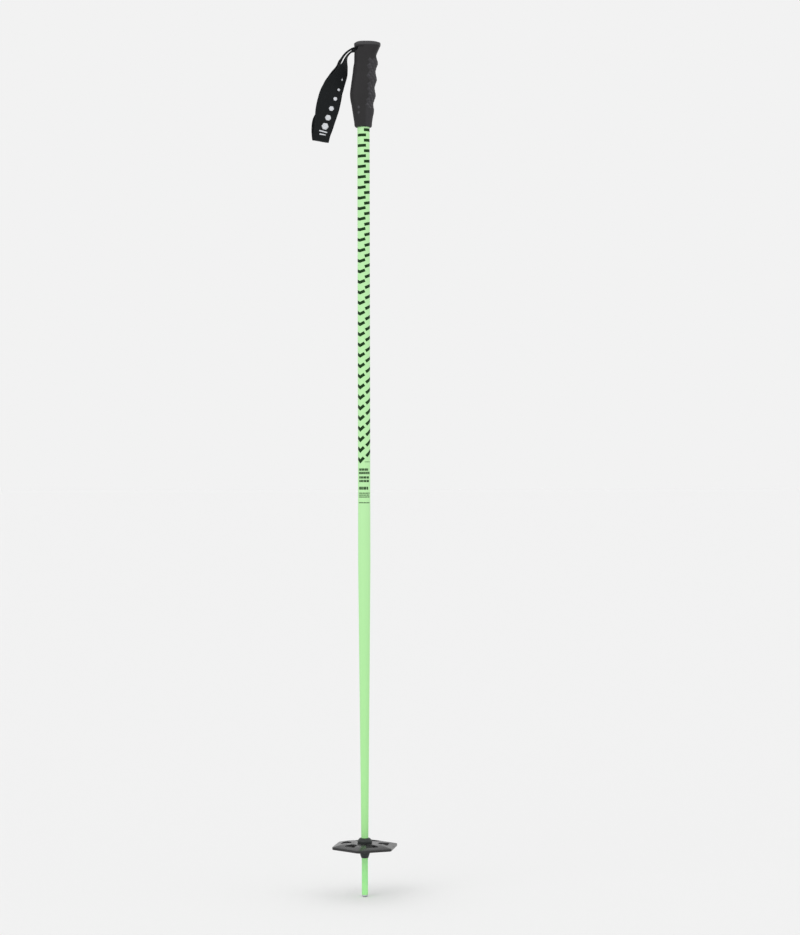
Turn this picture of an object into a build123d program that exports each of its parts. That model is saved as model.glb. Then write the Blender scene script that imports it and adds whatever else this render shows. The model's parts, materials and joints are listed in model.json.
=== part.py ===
from build123d import *
import os

# Alpine ski pole, millimetres. +Z runs up the pole's axis from the tip's contact face,
# +X points to the front of the grip (the finger ridges), and the strap hangs behind, at -X.

# Overall
pole_length = 1250.0

# Shaft tube: parallel above, tapering towards the basket
shaft_radius = 9.0
shaft_wall = 1.0
shaft_top_z = 1222.0
taper_top_z = 485.0
shaft_bottom_z = 80.0
shaft_bottom_radius = 5.15
spigot_radius = 4.0
spigot_top_z = 112.0

# Grip outline: height, back x, front x, half width, corner radius
grip_bottom_z = 1125.0
grip_seam_z = 1243.6
grip_sections = [
    (grip_bottom_z, -10.4, 10.8, 10.4, 9.4),
    (1129.5, -12.6, 12.7, 11.9, 10.8),
    (1148.2, -15.7, 15.6, 12.9, 11.7),
    (1158.7, -17.4, 14.4, 13.3, 12.1),
    (1173.0, -19.4, 17.9, 13.9, 12.7),
    (1182.6, -18.3, 16.6, 13.9, 12.5),
    (1195.0, -16.7, 19.4, 13.9, 12.1),
    (1206.7, -15.1, 17.6, 13.8, 11.7),
    (1219.3, -13.5, 21.1, 13.9, 11.1),
    (1229.6, -13.2, 19.1, 14.1, 9.8),
    (1238.0, -13.1, 22.0, 14.4, 9.3),
    (1246.0, -13.4, 25.3, 15.0, 9.0),
]
cap_rim_section = (1248.6, -10.4, 19.3, 13.0, 8.0)
cap_top_section = (pole_length, -8.0, 15.1, 10.6, 6.6)

# Grip core
core_radius = 10.2
core_bottom_z = 1131.0
core_head_back = -9.5
core_head_front = 15.0
core_head_half_width = 12.6
core_head_corner = 6.0

# Wrist strap and its lock
webbing = 2.0
strap_half_width = 10.0
slot_play = 0.3
pivot_x = -17.2
pivot_z = 1238.8
knuckle_radius = 2.9
tails_thickness = 2 * webbing
pin_x = 5.0
pin_radius = 2.0
pin_half_length = 12.4
eye_radius = pin_radius + 1.9
slot_half_height = 3.2
wedge_front_x = -3.0
wedge_half_width = 10.7
wedge_bottom_z = pivot_z + webbing + slot_play
cutter_reach = 30.0
cutter_margin = 1.0

# Loop of the strap: two flat layers joined by a fold at the bottom
layer_gap = 9.0
layer_inner_y = layer_gap / 2
layer_outer_y = layer_inner_y + webbing
strand_offset = 1.6
outer_strand = [
    (pivot_x, pivot_z + strand_offset),
    (-23.4, 1235.6),
    (-29.2, 1228.7),
    (-34.0, 1219.9),
    (-39.6, 1211.6),
]
inner_strand = [
    (pivot_x, pivot_z - strand_offset),
    (-20.6, 1232.6),
    (-23.4, 1228.5),
    (-26.0, 1222.0),
    (-28.4, 1217.0),
]
layer_left = [
    (-35.0, 1219.5),
    (-49.6, 1202.3),
    (-61.6, 1180.4),
    (-69.8, 1152.0),
    (-74.6, 1128.0),
    (-75.0, 1113.2),
]
layer_right = [
    (-48.4, 1110.8),
    (-39.7, 1136.5),
    (-30.2, 1171.6),
    (-25.5, 1193.6),
    (-22.8, 1221.5),
]

# Ferrule and tip
ferrule_radius = 4.55
ferrule_bottom_z = 3.0
seat_radius = 4.1
seat_bottom_z = 56.7
snap_groove_z = 67.5
snap_groove_radius = 3.7
snap_groove_height = 3.0
holder_radius = 4.2
holder_bottom_z = 0.8
holder_shank_radius = 3.3
holder_shank_top_z = 24.0
carbide_radius = 2.8
carbide_top_z = 9.0
carbide_rim_radius = 2.2
carbide_dish_depth = 1.4
carbide_dish_slope = 40

# Basket
basket_sides = 6
basket_angle = 19.8
basket_corner_radius = 50.3
basket_corner_round = 4.5
plateau_radius = 33.0
plateau_round = 3.0
plateau_z = 78.6
slope_drop = 3.5
lip_height = 3.8
plate_wall = 1.9
lip_wall = 2.2
lip_corner_round = 3.5
plate_hole_radius = 8.6
hub_top_z = 86.0
hub_top_radius = 6.4
hub_shoulder_z = 82.4
hub_radius = 10.8
hub_flange = 1.6
hub_flare = 0.8
hub_waist_radius = 7.5
hub_waist_z = 64.0
hub_bottom_z = 57.0
hub_bottom_radius = 5.4
rib_gap = 0.3
hub_running_gap = 0.07
shaft_running_gap = 0.1
window_inner_radius = 20.0
window_outer_radius = 35.0
window_inner_half = 5.5
window_outer_half = 10.0
window_round = 2.0

os.makedirs("parts", exist_ok=True)


def grip_section(section):
    """One rounded-rectangle section of the grip, at its own height."""
    height, back, front, half_width, corner = section
    with BuildSketch(Plane.XY.offset(height)) as sketch:
        with Locations(((back + front) / 2, 0)):
            RectangleRounded(front - back, 2 * half_width, corner)
    return sketch.sketch


def rod(radius, low_z, high_z, mode=Mode.ADD):
    """A round bar on the pole's axis, added to or cut from the part being built."""
    with BuildSketch(Plane.XY.offset(low_z)) as disc:
        Circle(radius)
    extrude(disc.sketch, amount=high_z - low_z, mode=mode)


def block(low, high, mode=Mode.ADD):
    """A box between two corners, added to or cut from the part being built."""
    centre = [(a + b) / 2 for a, b in zip(low, high)]
    size = [b - a for a, b in zip(low, high)]
    with Locations(tuple(centre)):
        Box(*size, mode=mode)


def cross_bar(radius, x, z, half_length, mode=Mode.ADD):
    """A round bar along Y, added to or cut from the part being built."""
    with BuildSketch(Plane.XZ.offset(-half_length)) as disc:
        with Locations((x, z)):
            Circle(radius)
    extrude(disc.sketch, amount=2 * half_length, mode=mode)


def hexagon(radius, corner, height):
    """A rounded hexagon with the basket's turn, at its own height."""
    with BuildSketch(Plane.XY.offset(height)) as sketch:
        RegularPolygon(radius, basket_sides, rotation=basket_angle)
        fillet(sketch.vertices(), corner)
    return sketch.sketch


# Outer form of the grip, shared by its shell, its top cap and the wedge
with BuildPart() as grip_form:
    for section in grip_sections:
        add(grip_section(section))
    loft(ruled=True)
with BuildPart() as cap_form:
    for section in (grip_sections[-1], cap_rim_section, cap_top_section):
        add(grip_section(section))
    loft(ruled=True)

# Outer form of the core, shared by the core and the hollow of the shell
with BuildPart() as core_form:
    rod(core_radius, core_bottom_z, shaft_top_z)
    with BuildSketch(Plane.XY.offset(shaft_top_z)):
        with Locations(((core_head_back + core_head_front) / 2, 0)):
            RectangleRounded(core_head_front - core_head_back, 2 * core_head_half_width, core_head_corner)
    extrude(amount=grip_seam_z - shaft_top_z)

slot_low = (-cutter_reach, -strap_half_width - slot_play, pivot_z - slot_half_height)
slot_high = (pin_x, strap_half_width + slot_play, pivot_z + slot_half_height)
wedge_pocket_low = (-cutter_reach, -wedge_half_width - slot_play, pivot_z)
wedge_pocket_high = (wedge_front_x + slot_play, wedge_half_width + slot_play, pole_length + cutter_margin)

# Shaft: one drawn tube with a straight taper, open at both ends
with BuildPart() as shaft_tube:
    with BuildSketch(Plane.XZ):
        with BuildLine():
            Polyline(
                (spigot_radius, shaft_bottom_z),
                (shaft_bottom_radius, shaft_bottom_z),
                (shaft_radius, taper_top_z),
                (shaft_radius, shaft_top_z),
                (shaft_radius - shaft_wall, shaft_top_z),
                (shaft_radius - shaft_wall, taper_top_z),
                (spigot_radius, spigot_top_z),
                close=True,
            )
        make_face()
    revolve(axis=Axis.Z)
shaft_tube.part.label = "shaft_tube"
export_step(shaft_tube.part, "parts/shaft_tube.step")

# Grip core: hard sleeve on the shaft with a head that holds the strap's pin
with BuildPart() as grip_core:
    add(core_form.part)
    rod(shaft_radius, core_bottom_z, shaft_top_z, mode=Mode.SUBTRACT)
    block(slot_low, slot_high, mode=Mode.SUBTRACT)
    cross_bar(eye_radius + slot_play, pin_x, pivot_z, strap_half_width + slot_play, mode=Mode.SUBTRACT)
    cross_bar(pin_radius, pin_x, pivot_z, pin_half_length, mode=Mode.SUBTRACT)
    block(wedge_pocket_low, wedge_pocket_high, mode=Mode.SUBTRACT)
grip_core.part.label = "grip_core"
export_step(grip_core.part, "parts/grip_core.step")

# Grip shell: soft rubber with four finger ridges at the front
with BuildPart() as grip_shell:
    add(grip_form.part)
    split(bisect_by=Plane.XY.offset(grip_seam_z), keep=Keep.BOTTOM)
    add(core_form.part, mode=Mode.SUBTRACT)
    rod(shaft_radius, grip_bottom_z, core_bottom_z, mode=Mode.SUBTRACT)
    block(slot_low, slot_high, mode=Mode.SUBTRACT)
    block(wedge_pocket_low, wedge_pocket_high, mode=Mode.SUBTRACT)
grip_shell.part.label = "grip_shell"
export_step(grip_shell.part, "parts/grip_shell.step")

# Top cap: hard plate that overhangs the front of the grip, with a pocket for the wedge
with BuildPart() as grip_top_cap:
    add(grip_form.part)
    split(bisect_by=Plane.XY.offset(grip_seam_z), keep=Keep.TOP)
    add(cap_form.part)
    block(wedge_pocket_low, wedge_pocket_high, mode=Mode.SUBTRACT)
grip_top_cap.part.label = "grip_top_cap"
export_step(grip_top_cap.part, "parts/grip_top_cap.step")

# Wedge: sits in the pocket above the strap's slot and lifts straight up to let the webbing slide
with BuildPart() as strap_wedge:
    add(grip_form.part)
    split(bisect_by=Plane.XY.offset(wedge_bottom_z), keep=Keep.TOP)
    add(cap_form.part)
    block(
        (-cutter_reach, -wedge_half_width, wedge_bottom_z),
        (wedge_front_x, wedge_half_width, pole_length + cutter_margin),
        mode=Mode.INTERSECT,
    )
strap_wedge.part.label = "strap_wedge"
export_step(strap_wedge.part, "parts/strap_wedge.step")

# Pin across the head of the core, which the hidden end of the strap goes round
with BuildPart() as strap_pin:
    cross_bar(pin_radius, pin_x, pivot_z, pin_half_length)
strap_pin.part.label = "strap_pin"
export_step(strap_pin.part, "parts/strap_pin.step")

# Hidden end of the strap: both strands lie together in the slot and form an eye round the pin
with BuildPart() as strap_tails:
    block(
        (pivot_x + knuckle_radius + slot_play, -strap_half_width, pivot_z - tails_thickness / 2),
        (pin_x, strap_half_width, pivot_z + tails_thickness / 2),
    )
    cross_bar(eye_radius, pin_x, pivot_z, strap_half_width)
    cross_bar(pin_radius, pin_x, pivot_z, strap_half_width, mode=Mode.SUBTRACT)
strap_tails.part.label = "strap_tails"
export_step(strap_tails.part, "parts/strap_tails.step")

# Loop of the strap: outer strand, inner strand, a layer on each side and the fold below
with BuildPart() as strap_loop:
    for side in (-1, 1):
        with BuildSketch(Plane.XZ.offset(side * layer_outer_y)):
            with BuildLine():
                left_edge = Spline(*layer_left)
                bottom_edge = Line(left_edge @ 1, layer_right[0])
                right_edge = Spline(*layer_right)
                Line(right_edge @ 1, left_edge @ 0)
            make_face()
        extrude(amount=-side * webbing)
    for strand in (outer_strand, inner_strand):
        with BuildSketch(Plane.XZ.offset(-strap_half_width)):
            with BuildLine():
                Spline(*strand)
            trace(line_width=webbing)
        extrude(amount=2 * strap_half_width)
    cross_bar(knuckle_radius, pivot_x, pivot_z, strap_half_width)
    fold_start = Vector(layer_left[-1][0], 0, layer_left[-1][1])
    fold_end = Vector(layer_right[0][0], 0, layer_right[0][1])
    fold_plane = Plane(origin=fold_start, x_dir=(0, 1, 0), z_dir=fold_end - fold_start)
    with BuildSketch(fold_plane):
        Circle(layer_outer_y)
        Circle(layer_inner_y, mode=Mode.SUBTRACT)
        with Locations((0, layer_outer_y / 2)):
            Rectangle(2 * layer_outer_y, layer_outer_y, mode=Mode.SUBTRACT)
    extrude(amount=(fold_end - fold_start).length)
strap_loop.part.label = "strap_loop"
export_step(strap_loop.part, "parts/strap_loop.step")

# Ferrule: glued into the shaft, carries the basket and the tip
with BuildPart() as ferrule:
    rod(ferrule_radius, ferrule_bottom_z, seat_bottom_z)
    rod(seat_radius, seat_bottom_z, shaft_bottom_z)
    rod(spigot_radius, shaft_bottom_z, spigot_top_z)
    with BuildSketch(Plane.XY.offset(snap_groove_z - snap_groove_height / 2)):
        Circle(seat_radius)
        Circle(snap_groove_radius, mode=Mode.SUBTRACT)
    extrude(amount=snap_groove_height, mode=Mode.SUBTRACT)
    rod(holder_shank_radius, ferrule_bottom_z, holder_shank_top_z, mode=Mode.SUBTRACT)
ferrule.part.label = "ferrule"
export_step(ferrule.part, "parts/ferrule.step")

# Tip holder: steel cup pressed into the end of the ferrule
with BuildPart() as tip_holder:
    rod(holder_radius, holder_bottom_z, ferrule_bottom_z)
    rod(holder_shank_radius, ferrule_bottom_z, holder_shank_top_z)
    rod(carbide_radius, holder_bottom_z, carbide_top_z, mode=Mode.SUBTRACT)
tip_holder.part.label = "tip_holder"
export_step(tip_holder.part, "parts/tip_holder.step")

# Tip: carbide stud with a dished end, so that its rim bites on ice
with BuildPart() as tip_carbide:
    rod(carbide_radius, 0, carbide_top_z)
    with BuildSketch(Plane.XY):
        Circle(carbide_rim_radius)
    extrude(amount=carbide_dish_depth, taper=carbide_dish_slope, mode=Mode.SUBTRACT)
tip_carbide.part.label = "tip_carbide"
export_step(tip_carbide.part, "parts/tip_carbide.step")

# Hub of the basket: turns on the ferrule, kept in place by a rib in the snap groove
plate_low_z = plateau_z - plate_wall
rib_low_z = snap_groove_z - snap_groove_height / 2 + rib_gap
rib_high_z = snap_groove_z + snap_groove_height / 2 - rib_gap
hub_bore = seat_radius + hub_running_gap
taper_slope = (shaft_radius - shaft_bottom_radius) / (taper_top_z - shaft_bottom_z)
shaft_bore = shaft_bottom_radius + shaft_running_gap
with BuildPart() as basket_hub:
    with BuildSketch(Plane.XZ):
        with BuildLine():
            Polyline(
                (hub_bore, hub_bottom_z),
                (hub_bottom_radius, hub_bottom_z),
                (hub_waist_radius, hub_waist_z),
                (hub_waist_radius, plate_low_z - hub_flange - hub_flare),
                (hub_radius, plate_low_z - hub_flange),
                (hub_radius, plate_low_z),
                (plate_hole_radius, plate_low_z),
                (plate_hole_radius, plateau_z),
                (hub_radius, plateau_z),
                (hub_radius, hub_shoulder_z),
                (hub_top_radius, hub_top_z),
                (shaft_bore + taper_slope * (hub_top_z - shaft_bottom_z), hub_top_z),
                (shaft_bore, shaft_bottom_z - rib_gap),
                (hub_bore, shaft_bottom_z - rib_gap),
                (hub_bore, rib_high_z),
                (snap_groove_radius + hub_running_gap, rib_high_z),
                (snap_groove_radius + hub_running_gap, rib_low_z),
                (hub_bore, rib_low_z),
                close=True,
            )
        make_face()
    revolve(axis=Axis.Z)
basket_hub.part.label = "basket_hub"
export_step(basket_hub.part, "parts/basket_hub.step")

# Plate of the basket: a shallow six-sided dish with a turned-down lip and six windows
slope_bottom_z = plateau_z - slope_drop
lip_bottom_z = slope_bottom_z - lip_height
inner_corner_radius = basket_corner_radius - lip_wall
with BuildPart() as basket_plate:
    add(hexagon(plateau_radius, plateau_round, plateau_z))
    add(hexagon(basket_corner_radius, basket_corner_round, slope_bottom_z))
    loft(ruled=True)
    add(hexagon(basket_corner_radius, basket_corner_round, lip_bottom_z))
    extrude(amount=lip_height)
    add(hexagon(plateau_radius, plateau_round, plate_low_z))
    add(hexagon(inner_corner_radius, lip_corner_round, slope_bottom_z - plate_wall))
    loft(ruled=True, mode=Mode.SUBTRACT)
    add(hexagon(inner_corner_radius, lip_corner_round, lip_bottom_z))
    extrude(amount=lip_height - plate_wall, mode=Mode.SUBTRACT)
    with BuildSketch(Plane.XY.offset(lip_bottom_z)) as openings:
        with PolarLocations(0, basket_sides, start_angle=basket_angle + 180 / basket_sides):
            Polygon(
                (window_inner_radius, -window_inner_half),
                (window_outer_radius, -window_outer_half),
                (window_outer_radius, window_outer_half),
                (window_inner_radius, window_inner_half),
                align=None,
            )
        fillet(openings.vertices(), window_round)
        Circle(plate_hole_radius)
    extrude(amount=lip_height + slope_drop, mode=Mode.SUBTRACT)
basket_plate.part.label = "basket_plate"
export_step(basket_plate.part, "parts/basket_plate.step")
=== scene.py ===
import json
from math import acos, cos, pi, radians, sin, sqrt, tan

import bmesh
import bpy
import numpy as np
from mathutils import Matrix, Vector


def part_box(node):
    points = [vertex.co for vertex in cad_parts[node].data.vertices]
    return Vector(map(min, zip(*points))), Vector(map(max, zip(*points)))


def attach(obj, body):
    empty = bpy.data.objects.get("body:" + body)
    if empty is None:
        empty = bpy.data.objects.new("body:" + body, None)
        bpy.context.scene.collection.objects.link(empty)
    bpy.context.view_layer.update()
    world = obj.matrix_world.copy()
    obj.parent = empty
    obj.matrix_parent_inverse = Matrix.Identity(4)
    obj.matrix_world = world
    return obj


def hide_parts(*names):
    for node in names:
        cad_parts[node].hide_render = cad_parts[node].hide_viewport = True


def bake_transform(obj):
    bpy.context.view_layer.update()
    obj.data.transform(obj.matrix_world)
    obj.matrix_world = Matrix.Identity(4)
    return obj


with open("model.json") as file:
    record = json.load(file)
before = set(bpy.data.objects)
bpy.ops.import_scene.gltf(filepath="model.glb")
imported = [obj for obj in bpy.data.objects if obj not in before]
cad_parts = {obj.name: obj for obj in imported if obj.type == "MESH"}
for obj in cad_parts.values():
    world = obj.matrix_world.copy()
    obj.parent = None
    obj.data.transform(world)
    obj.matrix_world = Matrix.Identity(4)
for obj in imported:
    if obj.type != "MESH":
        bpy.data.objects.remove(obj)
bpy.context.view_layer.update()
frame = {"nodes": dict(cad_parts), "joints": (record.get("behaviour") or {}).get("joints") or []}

# Lengths below are millimetres unless a name says otherwise; MM turns them into metres.
MM = 0.001


def box_mm(node):
    """Lowest and highest corners of a CAD node."""
    low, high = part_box(node)
    return low / MM, high / MM


# Places read from the frame
shaft_low, shaft_high = box_mm("shaft_tube")
grip_low, grip_high = box_mm("grip_shell")
cap_low, cap_high = box_mm("grip_top_cap")
core_low, core_high = box_mm("grip_core")
wedge_low, wedge_high = box_mm("strap_wedge")
tails_high = box_mm("strap_tails")[1]
ferrule_low, ferrule_high = box_mm("ferrule")
holder_low, holder_high = box_mm("tip_holder")
carbide_low, carbide_high = box_mm("tip_carbide")
hub_low, hub_high = box_mm("basket_hub")
plate_low, plate_high = box_mm("basket_plate")
swing = next(joint for joint in frame["joints"] if joint["name"] == "strap_swing")
pivot_z = swing["pos_m"][2] / MM

SHAFT_RADIUS = shaft_high.x
SHAFT_WALL = 1
TAPER_TOP = 485
FOOT_RADIUS = 5.15
SPIGOT_RADIUS = 4
SHANK_RADIUS = 3.3
POLE_LENGTH = cap_high.z
PLATE_WALL = 1.9
SLOPE_DROP = 3.5


# ---- mesh helpers


def in_scene(name, data):
    """A new object in the scene."""
    made = bpy.data.objects.new(name, data)
    bpy.context.scene.collection.objects.link(made)
    return made


def make_mesh(name, points, faces, smooth=True):
    """A mesh object from points in millimetres."""
    mesh = bpy.data.meshes.new(name)
    mesh.from_pydata([tuple(c * MM for c in p) for p in points], [], faces)
    mesh.validate()
    made = bmesh.new()
    made.from_mesh(mesh)
    bmesh.ops.recalc_face_normals(made, faces=made.faces)
    made.to_mesh(mesh)
    made.free()
    mesh.polygons.foreach_set("use_smooth", [smooth] * len(mesh.polygons))
    return in_scene(name, mesh)


def ring_faces(rings, size, ends=False, loop=False):
    """Quads between rings of the same size; the ends are capped or the last ring joins the first."""
    faces = []
    for ring in range(rings if loop else rings - 1):
        low = ring * size
        high = ((ring + 1) % rings) * size
        for k in range(size):
            after = (k + 1) % size
            faces.append((low + k, low + after, high + after, high + k))
    if ends:
        faces.append(tuple(range(size))[::-1])
        faces.append(tuple(range((rings - 1) * size, rings * size)))
    return faces


def rounded_profile(corners, steps=4):
    """A profile whose corners (x, z, radius) are rounded with short arcs."""
    path = []
    for k, (x, z, radius) in enumerate(corners):
        here = np.array((x, z))
        if radius <= 0:
            path.append(here)
            continue
        before, after = corners[k - 1], corners[(k + 1) % len(corners)]
        sides = [np.array(other[:2]) - here for other in (before, after)]
        spans = [np.linalg.norm(side) for side in sides]
        to_before, to_after = sides[0] / spans[0], sides[1] / spans[1]
        half_turn = acos(np.clip(to_before @ to_after, -1, 1)) / 2
        reach = min(radius / tan(half_turn), 0.48 * min(spans))
        start, end = here + to_before * reach, here + to_after * reach
        for t in np.arange(steps + 1) / steps:
            path.append((1 - t) ** 2 * start + 2 * t * (1 - t) * here + t**2 * end)
    return path


def level(flat, height):
    """A flat ring as points at one height."""
    return np.column_stack([flat, np.full(len(flat), height)])


def round_ring(radius, angles, height):
    """Points round the pole's axis, with one radius for all or one for each angle."""
    return level(np.column_stack([radius * np.cos(angles), radius * np.sin(angles)]), height)


def lathe(name, corners, segments=96):
    """A closed profile (radius, height, corner radius) turned about the pole's axis."""
    profile = rounded_profile(corners)
    angles = 2 * pi * np.arange(segments) / segments
    points = np.concatenate([round_ring(radius, angles, height) for radius, height in profile])
    return make_mesh(name, points, ring_faces(len(profile), segments, loop=True))


def smooth_line(stations, values):
    """A smooth curve through the values at the stations."""
    at = np.asarray(stations, float)
    to = np.asarray(values, float)
    slope = np.gradient(to, at, axis=0)

    def curve(position):
        p = np.clip(np.asarray(position, float), at[0], at[-1])
        k = np.clip(np.searchsorted(at, p, side="right") - 1, 0, len(at) - 2)
        span = at[k + 1] - at[k]
        t = (p - at[k]) / span
        if to.ndim > 1:
            span, t = span[..., None], t[..., None]
        return (
            (2 * t**3 - 3 * t**2 + 1) * to[k]
            + (t**3 - 2 * t**2 + t) * span * slope[k]
            + (3 * t**2 - 2 * t**3) * to[k + 1]
            + (t**3 - t**2) * span * slope[k + 1]
        )

    return curve


def cut(piece, cutter, operation="DIFFERENCE"):
    """Applies a boolean and removes the cutter."""
    modifier = piece.modifiers.new("cut", "BOOLEAN")
    modifier.operation = operation
    modifier.solver = "EXACT"
    modifier.object = cutter
    apply_modifiers(piece)
    bpy.data.objects.remove(cutter)


def apply_modifiers(piece):
    """Bakes a piece's modifiers into its mesh."""
    bpy.context.view_layer.update()
    graph = bpy.context.evaluated_depsgraph_get()
    shaped = piece.evaluated_get(graph)
    mesh = bpy.data.meshes.new_from_object(shaped, preserve_all_data_layers=True, depsgraph=graph)
    piece.modifiers.clear()
    piece.data = mesh


def bevel(piece, width, segments=2, angle=35):
    """Rounds a piece's sharp edges."""
    modifier = piece.modifiers.new("bevel", "BEVEL")
    modifier.width = width * MM
    modifier.segments = segments
    modifier.limit_method = "ANGLE"
    modifier.angle_limit = radians(angle)
    modifier.harden_normals = True
    apply_modifiers(piece)


def prism(points):
    """A cutter between two rings of points."""
    return make_mesh("cutter", points, ring_faces(2, len(points) // 2, ends=True), smooth=False)


def block_cutter(low, high, rounding=0):
    """A box-shaped cutter between two corners."""
    sides = ((low[0], low[1]), (high[0], low[1]), (high[0], high[1]), (low[0], high[1]))
    cutter = prism([(x, y, z) for z in (low[2], high[2]) for x, y in sides])
    if rounding:
        bevel(cutter, rounding, 3)
    return cutter


class Joined:
    """Several closed shapes that become one piece."""

    def __init__(self):
        self.points, self.faces = [], []

    def add(self, points, faces):
        start = len(self.points)
        self.points.extend(points)
        self.faces.extend(tuple(start + k for k in face) for face in faces)

    def piece(self, name, smooth=True):
        return make_mesh(name, self.points, self.faces, smooth)


def thin_patch(across, along, place):
    """Points and faces of a closed thin patch; place(i, j, upper) gives its upper and lower points."""
    points = []
    for upper in (True, False):
        points.extend(place(i, j, upper) for i in range(across + 1) for j in range(along + 1))
    row = along + 1
    corner, layer = across * row, (across + 1) * row
    faces = []
    for i in range(across):
        for j in range(along):
            a = i * row + j
            b, c, d = a + 1, a + row + 1, a + row
            faces.append((a, d, c, b))
            faces.append((layer + a, layer + b, layer + c, layer + d))
    index = [*range(0, corner, row), *range(corner, corner + along)]
    index += [*range(corner + along, along, -row), *range(along, 0, -1)]
    faces.extend((a, b, layer + b, layer + a) for a, b in zip(index, index[1:] + index[:1]))
    return points, faces


# ---- material helpers


class Paint:
    """A node material and short calls that build it."""

    def __init__(self, name, color, roughness, **sockets):
        self.material = bpy.data.materials.new(name)
        self.material.use_nodes = True
        self.nodes = self.material.node_tree.nodes
        self.link = self.material.node_tree.links.new
        self.shader = self.nodes["Principled BSDF"]
        self.shader.inputs["Base Color"].default_value = (*color, 1)
        self.shader.inputs["Roughness"].default_value = roughness
        for socket, value in sockets.items():
            self.shader.inputs[socket.replace("_", " ")].default_value = value
        self.place = self.nodes.new("ShaderNodeTexCoord").outputs["Object"]

    def feed(self, sockets, values):
        """Gives sockets their numbers, colours or other nodes' outputs."""
        for socket, value in zip(sockets, values):
            if isinstance(value, (int, float)):
                socket.default_value = value
            elif isinstance(value, tuple):
                socket.default_value = (*value, 1)
            else:
                self.link(value, socket)

    def math(self, operation, *values):
        """A math node of numbers and other nodes' outputs."""
        node = self.nodes.new("ShaderNodeMath")
        node.operation = operation
        self.feed(node.inputs, values)
        return node.outputs[0]

    def add(self, kind, settings, vector=None):
        """A new node that reads a place on the piece."""
        node = self.nodes.new("ShaderNode" + kind)
        for name, value in settings.items():
            node.inputs[name].default_value = value
        self.link(vector or self.place, node.inputs["Vector"])
        return node

    def axes(self, vector=None):
        """The x, y and z of a vector."""
        return self.add("SeparateXYZ", {}, vector).outputs

    def noise(self, scale, detail=3, roughness=0.55, vector=None):
        """Fractal noise from 0 to 1."""
        settings = {"Scale": scale, "Detail": detail, "Roughness": roughness}
        return self.add("TexNoise", settings, vector).outputs["Fac"]

    def streaks(self, scale, detail, roughness=0.7):
        """Fractal noise with its own scale along x, y and z."""
        node = self.add("VectorMath", {})
        node.operation = "MULTIPLY"
        node.inputs[1].default_value = scale
        return self.noise(1, detail, roughness, node.outputs[0])

    def remap(self, value, low, high, to_low=0, to_high=1):
        """Value taken from one range to another, clamped."""
        node = self.nodes.new("ShaderNodeMapRange")
        self.feed(node.inputs, (value, low, high, to_low, to_high))
        return node.outputs[0]

    def attribute(self, name, output="Fac"):
        """A value stored on the mesh."""
        node = self.nodes.new("ShaderNodeAttribute")
        node.attribute_name = name
        return node.outputs[output]

    def mix(self, factor, a, b):
        """Colour between a and b."""
        node = self.nodes.new("ShaderNodeMix")
        node.data_type = "RGBA"
        self.feed((node.inputs[0], *node.inputs[6:8]), (factor, a, b))
        return node.outputs[2]

    def tint(self, value, low, high, amount, a, b):
        """Colour a, with up to that amount of b where the value passes from low to high."""
        return self.mix(self.remap(value, low, high, 0, amount), a, b)

    def color(self, output):
        self.link(output, self.shader.inputs["Base Color"])

    def roughness(self, *remapped):
        self.link(self.remap(*remapped), self.shader.inputs["Roughness"])

    def bump(self, height, distance, strength=1):
        """Adds a bump layer over those made before it."""
        node = self.nodes.new("ShaderNodeBump")
        node.inputs["Strength"].default_value = strength
        node.inputs["Distance"].default_value = distance * MM
        self.link(height, node.inputs["Height"])
        normal = self.shader.inputs["Normal"]
        if normal.is_linked:
            self.link(normal.links[0].from_socket, node.inputs["Normal"])
        self.link(node.outputs[0], normal)

    def on(self, piece):
        piece.data.materials.clear()
        piece.data.materials.append(self.material)
        return piece


def srgb(r, g, b):
    """Linear colour from 0 to 255 display values."""
    out = []
    for value in (r, g, b):
        v = value / 255
        out.append(v / 12.92 if v <= 0.04045 else ((v + 0.055) / 1.055) ** 2.4)
    return tuple(out)


GREEN_TOP = srgb(182, 231, 168)
GREEN_FOOT = srgb(164, 228, 149)
GREEN_FERRULE = srgb(160, 235, 149)
INK = srgb(10, 46, 8)
GRIP_BLACK = srgb(38, 37, 38)
GRIP_KNURL_AND_LIT_FRONT = srgb(53, 52, 55)
WEBBING_BLACK = srgb(22, 24, 25)
PALE_PRINT = srgb(205, 208, 212)
HUB_BLACK = srgb(44, 48, 47)
SMOKE = srgb(46, 46, 47)
SMOKE_LIP_SHADE = srgb(14, 14, 15)


def shaft_paint():
    """Satin green lacquer, a little deeper towards the basket."""
    paint = Paint("shaft_paint", GREEN_TOP, 0.4, Specular_IOR_Level=0.3)
    height = paint.axes()[2]
    down = paint.remap(height, 0.62, 0.08)
    tone = paint.mix(down, GREEN_TOP, GREEN_FOOT)
    cloud = paint.noise(9, 2)
    shade = paint.tint(cloud, 0.3, 0.7, 0.10, tone, srgb(168, 222, 150))
    scuffs = paint.streaks((900, 900, 45), 5)
    near_foot = paint.remap(height, 0.42, 0.09, 0, 0.35)
    worn = paint.math("MULTIPLY", paint.remap(scuffs, 0.66, 0.74), near_foot)
    paint.color(paint.mix(worn, shade, srgb(206, 226, 200)))
    paint.roughness(paint.noise(60), 0.3, 0.7, 0.36, 0.48)
    paint.bump(paint.noise(420, 2), 0.02, 0.5)
    return paint


def ink():
    """Screen-printed dark ink."""
    paint = Paint("print_ink", INK, 0.5, Specular_IOR_Level=0.15)
    grain = paint.noise(700)
    paint.color(paint.tint(grain, 0.35, 0.75, 0.5, INK, srgb(24, 60, 20)))
    paint.bump(grain, 0.01, 0.4)
    return paint


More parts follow.
